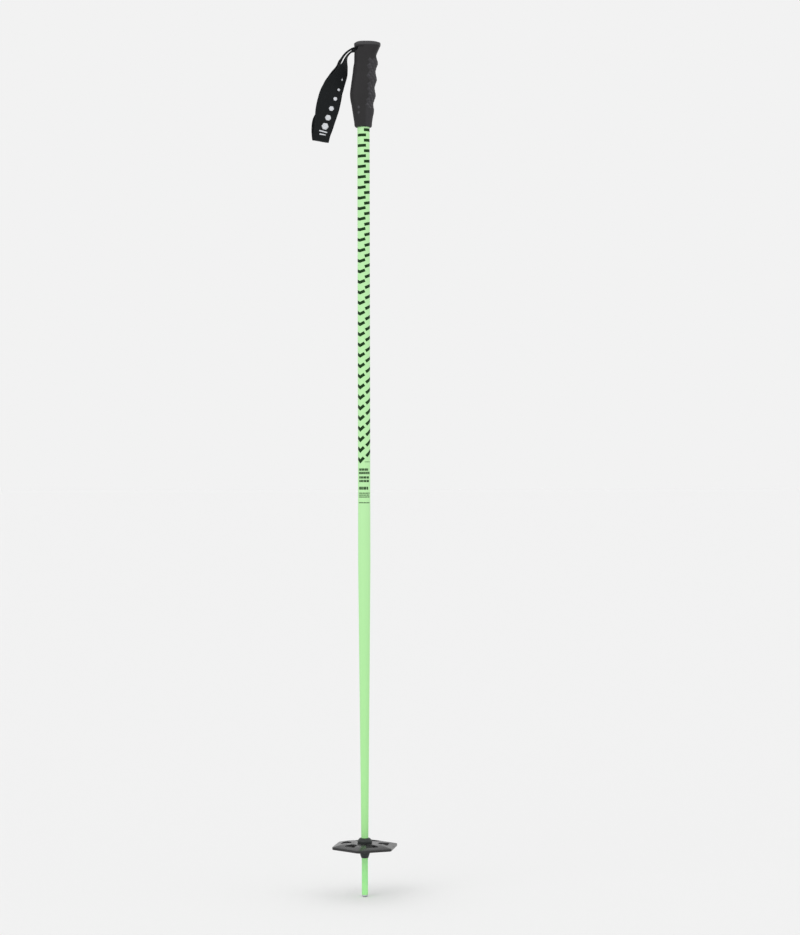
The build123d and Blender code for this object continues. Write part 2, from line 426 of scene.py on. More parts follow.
def ferrule_plastic():
    """Moulded green plastic, satin, rubbed near the tip."""
    paint = Paint("ferrule_plastic", GREEN_FERRULE, 0.38, Subsurface_Weight=0.08, Subsurface_Scale=0.002)
    height = paint.axes()[2]
    scratches = paint.streaks((700, 700, 120), 6)
    near_tip = paint.remap(height, 0.035, 0, 0.1, 0.8)
    rubbed = paint.math("MULTIPLY", paint.remap(scratches, 0.6, 0.72), near_tip)
    paint.color(paint.mix(rubbed, GREEN_FERRULE, srgb(190, 216, 190)))
    paint.roughness(paint.noise(140), 0.3, 0.7, 0.3, 0.48)
    paint.bump(scratches, 0.03, 0.35)
    return paint


def grip_rubber():
    """Soft matt rubber: fine pebble, paler where the knurl and the front are, partly the rubber's own tone
    and partly painted light, with painted light and shade on the knurl's facets.
    """
    sheen = {"Sheen_Weight": 0.03, "Sheen_Roughness": 0.5}
    paint = Paint("grip_rubber", GRIP_BLACK, 0.72, Specular_IOR_Level=0.25, **sheen)
    zone = paint.attribute("knurl")
    dust = paint.noise(28, 4, 0.6)
    facet_shade_and_heel_value = paint.attribute("facet_shade_and_heel")
    # the paler zone is partly the knurl's own tone and partly painted light on the grip's front
    base = paint.mix(zone, GRIP_BLACK, GRIP_KNURL_AND_LIT_FRONT)
    # painted light and shade: knurl facets are tinted lighter on one side and darker on the other; the heel
    # marks are paler
    base = paint.tint(facet_shade_and_heel_value, 0, 1.2, 0.75, base, srgb(88, 87, 91))
    base = paint.tint(facet_shade_and_heel_value, 0, -1.2, 0.75, base, srgb(36, 35, 37))
    paint.color(paint.tint(dust, 0.45, 0.8, 0.12, base, srgb(78, 78, 80)))
    paint.roughness(dust, 0.3, 0.7, 0.64, 0.82)
    pebble = paint.add("TexVoronoi", {"Scale": 1600}).outputs["Distance"]
    paint.bump(pebble, 0.05, 0.55)
    paint.bump(paint.noise(240), 0.06, 0.3)
    return paint


def moulded_black(name, color, roughness):
    """Hard moulded plastic with a fine spark texture."""
    paint = Paint(name, color, roughness, Specular_IOR_Level=0.28)
    grain = paint.noise(1500, 2)
    cloud = paint.noise(35)
    paint.color(paint.tint(cloud, 0.4, 0.8, 0.2, color, tuple(1.7 * c for c in color)))
    paint.roughness(cloud, 0.3, 0.7, roughness - 0.06, roughness + 0.08)
    paint.bump(grain, 0.03, 0.5)
    return paint


def smoky_plastic():
    """Smoky translucent plastic, with painted shade that darkens the lip."""
    paint = Paint("smoky_plastic", SMOKE, 0.3, Transmission_Weight=0.2, IOR=1.55)
    cloud = paint.noise(60)
    tone = paint.tint(cloud, 0.3, 0.7, 0.3, SMOKE, srgb(40, 40, 41))
    rim = (plate_high.z - SLOPE_DROP) * MM
    # painted shade: below the rim the colour is darkened towards the lip's colour
    thick = paint.remap(paint.axes()[2], rim + 0.0004, rim - 0.0012)
    paint.color(paint.mix(thick, tone, SMOKE_LIP_SHADE))
    scratches = paint.streaks((350, 60, 350), 5)
    paint.roughness(scratches, 0.4, 0.75, 0.24, 0.4)
    paint.bump(scratches, 0.03, 0.25)
    return paint


def turned_metal(name, color, roughness):
    """Turned metal with fine rings, dulled by use."""
    paint = Paint(name, color, roughness, Metallic=1)
    rings = paint.streaks((60, 60, 5200), 2, 0.5)
    stain = paint.noise(300, 4)
    paint.color(paint.tint(stain, 0.45, 0.75, 0.4, color, tuple(0.45 * c for c in color)))
    paint.roughness(stain, 0.3, 0.7, roughness, roughness + 0.22)
    paint.bump(rings, 0.02, 0.4)
    return paint


def webbing_cloth():
    """Woven strap: close ribs across it and warp threads along it, with painted light on the raised threads
    and painted shade in the hollows between them.
    """
    color = WEBBING_BLACK
    paint = Paint("webbing", color, 0.85, Specular_IOR_Level=0.1, Sheen_Weight=0.04, Sheen_Roughness=0.5)
    along, across, _ = paint.axes(paint.attribute("weave", "Vector"))
    rib = paint.math("SINE", paint.math("MULTIPLY", along, 2 * pi / 0.0011))
    warp = paint.math("SINE", paint.math("MULTIPLY", across, 2 * pi / 0.0013))
    weave = paint.math("MULTIPLY", rib, warp)
    height = paint.math("ADD", paint.math("MULTIPLY", weave, 0.5), paint.math("MULTIPLY", rib, 0.35))
    fuzz = paint.noise(380, 4, 0.65)
    # painted light and shade: raised threads are tinted lighter, the hollows between them stay darker
    raised_thread_highlight = tuple(1.9 * c for c in color)
    tone = paint.tint(height, -0.7, 0.8, 0.55, color, raised_thread_highlight)
    paint.color(paint.tint(fuzz, 0.5, 0.8, 0.4, tone, tuple(2.6 * c for c in color)))
    paint.bump(height, 0.16, 0.8)
    paint.bump(fuzz, 0.08, 0.35)
    return paint


def pale_print():
    """Pale ink printed on the webbing, broken by the weave."""
    paint = Paint("webbing_print", PALE_PRINT, 0.7)
    fuzz = paint.noise(900)
    paint.color(paint.tint(fuzz, 0.5, 0.75, 0.6, PALE_PRINT, srgb(120, 122, 126)))
    paint.bump(fuzz, 0.05, 0.5)
    return paint


def finished(piece, paint, slot, body, *nodes):
    """Gives a piece its material and body, and the CAD nodes it stands for; the slot is not used."""
    paint.on(piece)
    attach(piece, body)
    if nodes:
        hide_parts(*nodes)
    return piece


# ---- camera


def make_camera():
    """A level camera at mid-height, a little to the right."""
    distance, right, view_height = 3.2, 0.0525, 1.3676
    data = bpy.data.cameras.new("camera")
    data.sensor_width = 36
    data.lens = 36 * distance / view_height
    data.clip_end = 200
    camera = in_scene("camera", data)
    camera.location = (right, -distance, 0.6275)
    camera.rotation_euler = (radians(90), radians(0.11), 0)
    bpy.context.scene.camera = camera


# ---- shaft and ferrule


def shaft_radius_at(height):
    """Outer radius of the tube at a height."""
    if height >= TAPER_TOP:
        return SHAFT_RADIUS
    share = (height - shaft_low.z) / (TAPER_TOP - shaft_low.z)
    return FOOT_RADIUS + share * (SHAFT_RADIUS - FOOT_RADIUS)


def make_shaft():
    """The tube, tapered below, with a bore that takes the ferrule's spigot at its foot."""
    profile = [
        (SPIGOT_RADIUS, shaft_low.z, 0), (FOOT_RADIUS, shaft_low.z, 0.2),
        (SHAFT_RADIUS, TAPER_TOP, 0), (SHAFT_RADIUS, shaft_high.z, 0.3),
        (SHAFT_RADIUS - SHAFT_WALL, shaft_high.z, 0.2), (SHAFT_RADIUS - SHAFT_WALL, TAPER_TOP, 0),
        (SPIGOT_RADIUS, ferrule_high.z, 0),
    ]
    finished(lathe("shaft", profile), shaft_paint(), "shaft_paint", "pole", "shaft_tube")


# How far the print stands above the paint and reaches into it
INK_HEIGHT = 0.07
INK_ROOT = 0.03


def decal(outline, across, along):
    """A printed patch; outline(u, v) gives its arc length and height for u and v from 0 to 1."""

    def place(i, j, upper):
        arc, height = outline(i / across, j / along)
        radius = shaft_radius_at(height)
        angle = arc / radius
        radius += INK_HEIGHT if upper else -INK_ROOT
        return radius * sin(angle), -radius * cos(angle), height

    return thin_patch(across, along, place)


def bar(arc_low, arc_high, low, high, round_off):
    """A plain bar with slightly rounded corners."""

    def outline(u, v):
        inset = round_off * (1 - sqrt(max(0, 1 - (2 * abs(v - 0.5)) ** 6)))
        arc = arc_low + inset + u * (arc_high - arc_low - 2 * inset)
        return arc, low + v * (high - low)

    return outline


def bent_band(vertex, height, left, right, angle, thick):
    """A band that bends up by the same angle on both sides of its vertex."""
    c, n = cos(angle), sin(angle)

    def outline(u, v):
        w = (v - 0.5) * thick
        side, reach = (-1, left) if u < 0.5 else (1, right)
        share = abs(2 * u - 1)
        arc = vertex + side * (share * reach * c - share * w * n)
        rise = share * (reach * n + w * c) + (1 - share) * w / c
        return arc, height + rise

    return outline


def straight_band(arc, height, reach, angle, thick):
    """A straight band, from the middle of its left end."""
    c, n = cos(angle), sin(angle)

    def outline(u, v):
        w = (v - 0.5) * thick
        return arc + u * reach * c - w * n, height + u * reach * n + w * c

    return outline


# The printed pattern: heights of its top dashes, and arc lengths from the side of the tube at -Y
PRINT_ROWS = 32
PRINT_PITCH = 15.362
BENT_TOP = 1112.8
BENT_ARC = -5.7
STRAIGHT_TOP = 1120.4
STRAIGHT_END = 12.9

# Plain label: arc lengths from and to, top, bottom, and how many blocks each row is broken into
LABEL = [
    (1, 10.2, 636.3, 635.4, 4),
    (-8.9, 6.9, 626.4, 622.8, 8),
    (-8.9, 9.9, 621.4, 617.8, 12),
    (-8.2, 8.8, 614.8, 611.4, 7),
    (-8.2, 8.8, 609.6, 606.2, 7),
    (-8.9, 6.8, 599.6, 595.2, 6),
    (-8.9, 9.9, 590.9, 589.4, 8),
    (-8.9, 9.5, 588.1, 586.6, 7),
    (-8.9, 9.9, 585.3, 583.8, 9),
    (-8.9, 9.9, 576.9, 575.5, 7),
]


def make_print():
    """Rows of dashes that bend gradually into ticks, twice round the tube, and a plain label below them."""
    ink_patches = Joined()
    for turn in (0, pi * SHAFT_RADIUS):
        for row in range(PRINT_ROWS):
            down = row / (PRINT_ROWS - 1)
            thick = 4.2 + 0.3 * down
            left = 4.6 + min(2.4, 8 * down)
            right = 9.75 - min(1.9, 3.8 * down)
            height = BENT_TOP - PRINT_PITCH * row
            bent = bent_band(turn + BENT_ARC, height, left, right, radians(45 * down), thick)
            ink_patches.add(*decal(bent, 24, 3))
            start = np.interp(down, (0, 0.25, 0.5, 0.75, 1), (0.7, 0.9, 2.1, 3.1, 3.4))
            angle = radians(43 * down)
            height = STRAIGHT_TOP - PRINT_PITCH * row
            reach = (STRAIGHT_END - start) / cos(angle)
            ink_patches.add(*decal(straight_band(turn + start, height, reach, angle, thick), 18, 3))
        for arc_low, arc_high, high, low, blocks in LABEL:
            step = (arc_high - arc_low) / blocks
            for k in range(blocks):
                arc = arc_low + k * step + turn
                width = step * (0.76 + 0.14 * (k % 2))
                ink_patches.add(*decal(bar(arc, arc + width, low, high, 0.15), 6, 2))
    finished(ink_patches.piece("shaft_print"), ink(), "shaft_paint", "pole")


def make_ferrule():
    """Green lower end: a fine ring near its foot, the basket's seat and a spigot in the tube."""
    wide, seat, bore = ferrule_high.x, 4.1, 1.5
    seat_low = hub_low.z - 0.3
    ring_low, ring_high, ring_depth = 20.3, 20.9, 0.12
    profile = [
        (SHANK_RADIUS, ferrule_low.z, 0), (wide, ferrule_low.z, 1.1),
        (wide, ring_low - 0.3, 0), (wide - ring_depth, ring_low, 0.1),
        (wide - ring_depth, ring_high, 0.1), (wide, ring_high + 0.3, 0),
        (wide, seat_low, 0.4), (seat, seat_low, 0), (seat, shaft_low.z, 0),
        (SPIGOT_RADIUS, shaft_low.z, 0), (SPIGOT_RADIUS, ferrule_high.z, 0.4),
        (bore, ferrule_high.z, 0.3), (bore, holder_high.z, 0), (SHANK_RADIUS, holder_high.z, 0),
    ]
    finished(lathe("ferrule_body", profile), ferrule_plastic(), "ferrule_plastic", "pole", "ferrule")


def make_tip():
    """Steel cup in the ferrule's foot, and the dished hard stud that it holds."""
    bore, vent = carbide_high.x, 0.4
    cup_profile = [
        (bore, holder_low.z, 0.15), (holder_high.x, holder_low.z, 0.5),
        (holder_high.x, ferrule_low.z, 0.1), (SHANK_RADIUS, ferrule_low.z, 0),
        (SHANK_RADIUS, holder_high.z, 0.4), (vent, holder_high.z, 0.1), (vent, carbide_high.z, 0),
        (bore, carbide_high.z, 0),
    ]
    cup = lathe("tip_cup", cup_profile, 64)
    steel = turned_metal("bright_steel", srgb(206, 210, 214), 0.26)
    finished(cup, steel, "steel", "pole", "tip_holder")
    rim, dish, middle = 2.2, 1.4, 0.05
    stud_profile = [
        (middle, dish, 0), (1, dish * 0.82, 0.4), (rim, carbide_low.z, 0.08),
        (bore, carbide_low.z, 0.12), (bore, carbide_high.z, 0.2), (middle, carbide_high.z, 0),
    ]
    stud = lathe("tip_stud", stud_profile, 64)
    carbide = turned_metal("hard_carbide", srgb(96, 98, 102), 0.4)
    finished(stud, carbide, "carbide", "pole", "tip_carbide")


# ---- grip

# Height above the bottom of the grip, then the back, front, half width and corner radius there
GRIP_OUTLINE = [
    (0, -10.8, 10.6, 10.2, 9.2), (0.5, -12, 11.6, 10.9, 9.8), (1.4, -12.7, 12.2, 11.5, 10.3),
    (3, -13.3, 12.6, 11.8, 10.6), (5.7, -13.5, 12.7, 12, 10.8), (10.1, -14.1, 13.3, 12.3, 11.1),
    (15.9, -15.1, 14.2, 12.6, 11.3), (20.3, -15.7, 15.2, 12.8, 11.5), (23.2, -16.2, 15.6, 12.9, 11.7),
    (27.6, -16.9, 15.1, 13.1, 11.9), (32, -17.5, 14.4, 13.3, 12.1), (35, -18.2, 14.4, 13.4, 12.2),
    (39.3, -19, 15.7, 13.6, 12.4), (43.5, -19.6, 17.2, 13.8, 12.6), (46.6, -19.8, 17.9, 13.9, 12.7),
    (51, -19.7, 17.2, 13.9, 12.6), (55.4, -19.2, 16.5, 13.9, 12.5), (58.3, -18.7, 16.2, 13.9, 12.4),
    (61.4, -18.3, 17, 13.9, 12.3), (66, -17.7, 18.6, 13.9, 12.2), (69.6, -17.1, 19.5, 13.9, 12.1),
    (74.4, -16.5, 18.8, 13.9, 11.9), (78.8, -15.8, 17.9, 13.8, 11.8), (81.7, -15.5, 17.6, 13.8, 11.7),
    (84.7, -15.2, 18.2, 13.8, 11.6), (89, -14.6, 19.7, 13.8, 11.4), (93.8, -13.7, 21.1, 13.9, 11.1),
    (97.8, -13.5, 20.4, 14, 10.6), (102.2, -13.4, 19.4, 14.1, 10.1), (105.4, -13.3, 19.1, 14.1, 9.8),
    (108.1, -13.2, 19.9, 14.2, 9.6), (112.4, -13.2, 21.7, 14.4, 9.3), (115.4, -13.2, 23.1, 14.6, 9.2),
    (118.6, -13.3, 24.4, 14.8, 9.1), (121, -13.5, 25.3, 15, 9),
]
CAP_TOP = [
    (121.8, -13.1, 25.2, 14.9, 8.9),
    (122.7, -12.2, 24.4, 14.4, 8.6),
    (124.1, -9.9, 20, 13, 8),
    (124.7, -7.9, 16, 11.6, 7.4),
    (125, -6.2, 13.4, 10.4, 6.6),
]
GRIP_SIDES = 216
RIM_HEIGHT = GRIP_OUTLINE[-1][0]
CORE_HEAD_BACK = -9.5
CORE_RADIUS = 10.2
# The gap round the core and round the wedge, and how far cutters reach past the grip
PLAY = 0.04
POCKET_PLAY = 0.3
FAR = 30


def grip_ring(back, front, half, corner):
    """One cross-section of the grip: a rectangle with round corners, in even steps from the front."""
    x, y = (front - corner, back + corner), half - corner
    path = [(front, 0)]
    for quarter, centre in enumerate(((x[0], y), (x[1], y), (x[1], -y), (x[0], -y))):
        for step in range(13):
            angle = pi / 2 * (quarter + step / 12)
            path.append((centre[0] + corner * cos(angle), centre[1] + corner * sin(angle)))
    path.append((front, 0))
    path = np.array(path)
    length = np.concatenate([[0], np.cumsum(np.linalg.norm(np.diff(path, axis=0), axis=1))])
    even = length[-1] * np.arange(GRIP_SIDES) / GRIP_SIDES
    return np.stack([np.interp(even, length, path[:, 0]), np.interp(even, length, path[:, 1])], 1)


grip_curve = smooth_line([row[0] for row in GRIP_OUTLINE], [row[1:] for row in GRIP_OUTLINE])


# The knurl's diamonds, and how much lower the pair of marks at the heel sits
KNURL_TALL, KNURL_WIDE, KNURL_LIFT = 7.7, 6.6, 0.55
HEEL_DROP = 3.1


def lengths_round(ring):
    """Length round a ring from its first point to each of its points, and the whole way round."""
    step = np.linalg.norm(np.roll(ring, -1, 0) - ring, axis=1)
    return np.concatenate([[0], np.cumsum(step)[:-1]]), step.sum()


def knurl_places():
    """How far forward the grip's side is at each half diamond up the grip and round it from the front."""
    rows = []
    half = GRIP_SIDES // 2
    for height in np.arange(0, RIM_HEIGHT + KNURL_TALL, KNURL_TALL / 2):
        ring = grip_ring(*grip_curve(height))
        length = lengths_round(ring)[0]
        rows.append(np.interp(np.arange(24) * KNURL_WIDE / 2, length[:half], ring[:half, 0]))
    return np.array(rows)


knurl_x = knurl_places()


def knurl(ring, height, round_length):
    """For each point of a ring: its lift, how far it is in the paler zone (the knurl's own tone and painted
    light on the front) and its facet's painted light and shade, with paler heel marks.
    """
    tall, wide = KNURL_TALL, KNURL_WIDE
    height = height + np.where(ring[:, 0] < 0, HEEL_DROP, 0)
    u, v = round_length / wide, height / tall
    a, b = u + v, u - v
    cell_a, cell_b = np.floor(a), np.floor(b)
    centre_round = (cell_a + cell_b + 1) / 2 * wide
    centre_height = (cell_a - cell_b) / 2 * tall
    part_a, part_b = a - cell_a - 0.5, b - cell_b - 0.5
    edge = 0.5 - np.maximum(np.abs(part_a), np.abs(part_b))
    facet = np.clip((edge - 0.03) / 0.4, 0, 1)
    row = np.clip(np.rint(2 * centre_height / tall).astype(int), 0, len(knurl_x) - 1)
    column = np.rint(2 * np.abs(centre_round) / wide).astype(int)
    left_limit = np.interp(centre_height, (15, 30, 60), (6.5, 4.6, 7.4))
    front = (knurl_x[row, column] > left_limit) & (centre_height > 24) & (centre_height < 100)
    # painted light: the plain front below the knurl is made paler where light falls on it
    plain = np.clip((ring[:, 0] - 2.5) / 2.5, 0, 1) * np.clip((31 - height) / 6, 0, 1)
    heel = (column == 9) & (np.abs(centre_height - 27) < 5) & (edge > 0.2)
    zone = (front | heel).astype(float)
    spread = np.sin(12.9898 * cell_a + 78.233 * cell_b + 3.1) * 43758.5
    spread = spread - np.floor(spread)
    # painted light and shade on the knurl's facets: upper and lower facets, and the two sides of each
    # diamond, get lighter and darker tones, varied at random per diamond
    upper = np.where(part_a - part_b > 0, 1, -1)
    inner = np.where(part_a + part_b > 0, 0.45, -0.45)
    fade = np.interp(centre_height, (60, 96), (1, 0.55))
    tone = front * fade * (0.34 * upper + 0.6 * inner) * (0.35 + spread) + 0.55 * heel
    return zone * facet * KNURL_LIFT, np.maximum(zone, 0.6 * plain), tone


def soft_knurl(ring, height, round_length):
    """The knurl averaged over a small patch round each point, for clean edges."""
    patch = [
        knurl(ring, height + rise, round_length + aside)
        for rise in (-0.3, 0, 0.3)
        for aside in (-0.25, 0, 0.25)
    ]
    return np.mean(patch, axis=0)


def make_grip_shell():
    """Rubber shell with four finger ridges and a facet knurl at the front, hollow for the core."""
    foot_top = 1.4
    heights = np.linspace(foot_top, grip_high.z - grip_low.z - 0.25, 200)
    heights = np.concatenate([np.linspace(0, foot_top, 4)[:-1], heights])
    rings, knurl_and_lit_front_zones, facet_shades_and_heels = [], [], []
    for height in heights:
        flat = grip_ring(*grip_curve(height))
        length, total = lengths_round(flat)
        round_length = np.where(length > total / 2, length - total, length)
        lift, zone, tone = soft_knurl(flat, height, round_length)
        tangent = np.roll(flat, -1, 0) - np.roll(flat, 1, 0)
        normal = np.stack([tangent[:, 1], -tangent[:, 0]], 1)
        normal /= np.linalg.norm(normal, axis=1)[:, None]
        flat = flat + normal * (lift - 0.15)[:, None]
        rings.append(level(flat, height + grip_low.z))
        knurl_and_lit_front_zones.append(zone)
        facet_shades_and_heels.append(tone)
    head = grip_ring(CORE_HEAD_BACK - PLAY, core_high.x + PLAY, core_high.y + PLAY, 6)
    rim_size = grip_curve(grip_high.z - grip_low.z) + np.array((0.5, -0.5, -0.5, -0.5))
    rings.append(level(grip_ring(*rim_size), grip_high.z))
    rings.append(level(head, grip_high.z))
    head_low, core_foot = shaft_high.z - PLAY, core_low.z - PLAY
    rings.append(level(head, head_low))
    for radius, height in (
        (CORE_RADIUS + PLAY, head_low), (CORE_RADIUS + PLAY, core_foot),
        (SHAFT_RADIUS + PLAY, core_foot), (SHAFT_RADIUS + PLAY, grip_low.z + 0.6),
        (SHAFT_RADIUS + 0.5, grip_low.z),
    ):
        rings.append(level(grip_ring(-radius, radius, radius, radius * 0.999), height))
    points = np.concatenate(rings)
    piece = make_mesh("grip_rubber_shell", points, ring_faces(len(rings), GRIP_SIDES, loop=True))
    # the knurl attribute carries the paler zone, partly painted light on the front; the facet attribute
    # carries painted facet light and shade and the paler heel marks
    for name, values in (("knurl", knurl_and_lit_front_zones), ("facet_shade_and_heel", facet_shades_and_heels)):
        store = np.zeros(len(points))
        store[: len(values) * GRIP_SIDES] = np.concatenate(values)
        piece.data.attributes.new(name, "FLOAT", "POINT").data.foreach_set("value", store)
    cut_slots(piece)
    finished(piece, grip_rubber(), "grip_rubber", "pole", "grip_shell")


def cut_pocket(piece, rounding):
    """Cuts the pocket that the wedge slides in."""
    half = wedge_high.y + POCKET_PLAY
    low = (-FAR, -half, pivot_z)
    cut(piece, block_cutter(low, (wedge_high.x + POCKET_PLAY, half, POLE_LENGTH + 5), rounding))


def cut_slots(piece):
    """Cuts the strap's slot with its flared mouth, the wedge's pocket and the seam beside the wedge."""
    slot_half, slot_width, slot_front = 3.2, tails_high.y + 0.4, 2
    low = (-FAR, -slot_width, pivot_z - slot_half)
    cut(piece, block_cutter(low, (slot_front, slot_width, pivot_z + slot_half), 0.8))
    cut_pocket(piece, 0.6)
    outside = 16
    mouth = [(-FAR, -3), (-9.4, -3), (-6.4, 1.4), (-6, slot_half), (-FAR, slot_half)]
    points = [(x, y, pivot_z + z) for y in (-outside, outside) for x, z in mouth]
    cut(piece, prism(points))
    for side in (-1, 1):
        low_y, high_y = sorted((side * 13.4, side * outside))
        cut(piece, block_cutter((-8, low_y, pivot_z + 2.2), (0.8, high_y, pivot_z + 3.1)))


def cap_rings(low, sink=0):
    """Rings of the outside of the cap from a height up to its flat top."""
    base = grip_low.z
    seam = grip_curve(low - base)
    rings = [level(grip_ring(*(seam - np.array((-sink, sink, sink, sink)))), low)]
    for height in np.linspace(low + 0.3, base + RIM_HEIGHT, 8):
        rings.append(level(grip_ring(*grip_curve(height - base)), height))
    for height, *size in CAP_TOP:
        rings.append(level(grip_ring(*size), base + height))
    return rings


def ringed(name, rings):
    """A closed piece through rings of the grip's size, capped at both ends."""
    return make_mesh(name, np.concatenate(rings), ring_faces(len(rings), GRIP_SIDES, ends=True))


def make_cap():
    """Hard cap: flared rim, chamfered top with a shallow oval dish."""
    rings = cap_rings(cap_low.z, 0.35)
    _, back, front, *sides = CAP_TOP[-1]
    middle = (back + front) / 2
    for share, drop in ((0.9, 0), (0.84, 0.1), (0.8, 0.45), (0.55, 0.6), (0.28, 0.66), (0.08, 0.68)):
        size = [(v - middle) * share + middle for v in (back, front)] + [v * share for v in sides]
        rings.append(level(grip_ring(*size), POLE_LENGTH - drop))
    piece = ringed("grip_cap", rings)
    cut_pocket(piece, 0.5)
    plastic = moulded_black("cap_plastic", srgb(60, 60, 61), 0.55)
    finished(piece, plastic, "cap_plastic", "pole", "grip_top_cap")


def make_wedge():
    """The wedge that locks the strap: the back corner of the grip's top, with three thumb grooves."""
    low, half, top = wedge_low.z, wedge_high.y, POLE_LENGTH
    piece = ringed("strap_lock_wedge", cap_rings(low))
    cut(piece, block_cutter((-FAR, -half, low), (wedge_high.x, half, top + 5)), "INTERSECT")
    groove_half = 7
    for k in range(3):
        x, floor = -5.2 - 1.5 * k, top - 0.9 - 0.55 * k
        cut(piece, block_cutter((x - 0.35, -groove_half, floor), (x + 0.35, groove_half, top + 2)))
    bevel(piece, 0.3, 2, 40)
    plastic = moulded_black("wedge_plastic", srgb(40, 40, 42), 0.45)
    finished(piece, plastic, "cap_plastic", "strap_lock", "strap_wedge")


def make_core():
    """The hard core and the strap's pin keep their CAD shapes."""
    core, pin = frame["nodes"]["grip_core"], frame["nodes"]["strap_pin"]
    moulded_black("core_plastic", srgb(48, 48, 50), 0.55).on(core)
    turned_metal("pin_steel", srgb(196, 198, 202), 0.3).on(pin)


# ---- strap

# The webbing from the slot down the back layer, round the fold and up the front layer to the slot:
# x, y, z, turn about the strap's own length (0 edge-on, 90 flat to the side), width
STRAP_PATH = [
    (-4, 0, 1.2, 0, 20), (-9.5, 0, 1.1, 0, 20), (-14, 0, 1.2, -2, 20),
    (-17.5, 0, 0.6, -7, 20), (-21.2, 0, -1.6, -7, 20.2), (-26.3, 0.1, -6, -5, 20.6),
    (-29.8, 0.3, -10.4, -3, 21), (-32.5, 0.6, -14.7, -1, 21.4), (-35, 1, -19, 3, 22),
    (-36.2, 1.6, -24.3, 10, 23.2), (-38, 2.6, -32.3, 31, 25), (-41.3, 3.6, -43.8, 57, 27.6),
    (-44.3, 4.4, -52.8, 78, 30), (-47.3, 4.9, -64.8, 90, 33), (-50.5, 5.2, -76.8, 90, 34.6),
    (-53.6, 5.4, -88.8, 90, 34.4), (-55.9, 5.6, -98.6, 90, 31.6), (-59.8, 5.8, -105, 90, 30.8),
    (-62.2, 5.6, -115.8, 90, 28.8), (-62.9, 4.6, -125.8, 90, 26.4), (-62.6, 0.4, -133.2, 90, 24.4),
    (-61.6, -3.8, -130.6, 90, 24.2), (-60.4, -5.2, -124, 90, 25.4), (-58.2, -5.6, -115.4, 90, 27.6),
    (-55.8, -5.8, -103, 90, 31), (-53.4, -5.6, -90.8, 90, 34), (-50.2, -5.2, -76, 90, 34.4),
    (-47, -4.9, -64, 88, 33), (-40.8, -4.4, -51.8, 68, 30), (-34.2, -3.4, -40.8, 48, 26.8),
    (-30, -2.6, -31.8, 37, 24.8), (-27, -1.6, -23.8, 20, 22.8), (-26.1, -1.1, -18.9, 12, 21.6),
    (-25.2, -0.7, -14.5, 5, 20.8), (-23.6, -0.4, -10.1, -2, 20.4), (-20.8, -0.1, -6.2, -6, 20.2),
    (-17.5, 0, -3.2, -7, 20), (-14, 0, -1.8, -2, 20), (-9.5, 0, -1.3, 0, 20),
    (-4, 0, -1.2, 0, 20),
]
WEBBING = 1.8
# Below this height the strap folds back up, and its fold leans by this angle
FOLD_TOP = -120
FOLD_LEAN = radians(12)


class Ribbon:
    """The strap's middle surface: a point and its outward side for a place along and across it."""

    def __init__(self):
        points = np.array([(x, y, pivot_z + z) for x, y, z, _, _ in STRAP_PATH])
        steps = np.linalg.norm(np.diff(points, axis=0), axis=1)
        self.stations = np.concatenate([[0], np.cumsum(steps)])
        self.length = self.stations[-1]
        self.centre = smooth_line(self.stations, points)
        self.turn = smooth_line(self.stations, [row[3] for row in STRAP_PATH])
        self.width = smooth_line(self.stations, [row[4] for row in STRAP_PATH])
        run = self.centre(self.stations + 0.5) - self.centre(self.stations - 0.5)
        run[self.stations > self.length / 2] *= -1
        lean = np.arctan2(-run[:, 0], -run[:, 2])
        lean[points[:, 2] < pivot_z + FOLD_TOP] = FOLD_LEAN
        self.lean = smooth_line(self.stations, lean)

    def point(self, s, v, lift):
        """A point at length s, at v from -1 to 1 across, lifted off the middle surface."""
        along = self.centre(s + 0.5) - self.centre(s - 0.5)
        along = along / np.linalg.norm(along)
        lean, turn = self.lean(s), radians(self.turn(s))
        across_flat = np.array((cos(lean), 0, -sin(lean)))
        across = cos(turn) * np.array((0, 1, 0)) + sin(turn) * across_flat
        across = across - along * (across @ along)
        across = across / np.linalg.norm(across)
        outward = np.cross(across, along)
        half = self.width(s) / 2
        return self.centre(s) + across * v * half + outward * (lift + self.curl(s, v))

    def curl(self, s, v):
        """Soft cupping of the flat layers, and slight waves along the edges."""
        share = sin(radians(np.clip(self.turn(s), 0, 90))) ** 2
        return share * (0.9 * (1 - v * v) - 0.45 + 0.25 * v * sin(s / 9))


def make_strap():
    """The wrist strap: one length of webbing with thicker edges, from the slot, round its fold and back."""
    ribbon = Ribbon()
    rows, columns = 300, 22
    selvedge, edge_width, edge_lift = 0.86, 0.985, 0.7
    section = []
    for side in (1, -1):
        for k in range(columns + 1):
            v = side * (2 * k / columns - 1)
            lift = side * WEBBING / 2 * (1 + 0.12 * (abs(v) > selvedge))
            section.append((v, v * edge_width, lift * edge_lift) if abs(v) == 1 else (v, v, lift))
    points, weave = [], []
    for i in range(rows + 1):
        s = ribbon.length * i / rows
        half = ribbon.width(s) / 2
        for v, across, lift in section:
            points.append(ribbon.point(s, across, lift))
            weave.append((s * MM, v * half * MM, 0))
    piece = make_mesh("wrist_strap", points, ring_faces(rows + 1, len(section), ends=True))
    store = piece.data.attributes.new("weave", "FLOAT_VECTOR", "POINT")
    store.data.foreach_set("vector", np.array(weave, np.float32).ravel())
    webbing_cloth().on(piece)
    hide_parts("strap_loop", "strap_tails")
    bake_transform(piece)
    mean_width = float(np.trapz(ribbon.width(ribbon.stations), ribbon.stations) / ribbon.length)
    make_strap_marks(ribbon)
    make_stitches(ribbon)


def length_at(ribbon, height):
    """Length along the strap where its front layer passes a height."""
    low, high = ribbon.length / 2, ribbon.length
    for _ in range(40):
        middle = (low + high) / 2
        if ribbon.centre(middle)[2] < height:
            low = middle
        else:
            high = middle
    return (low + high) / 2


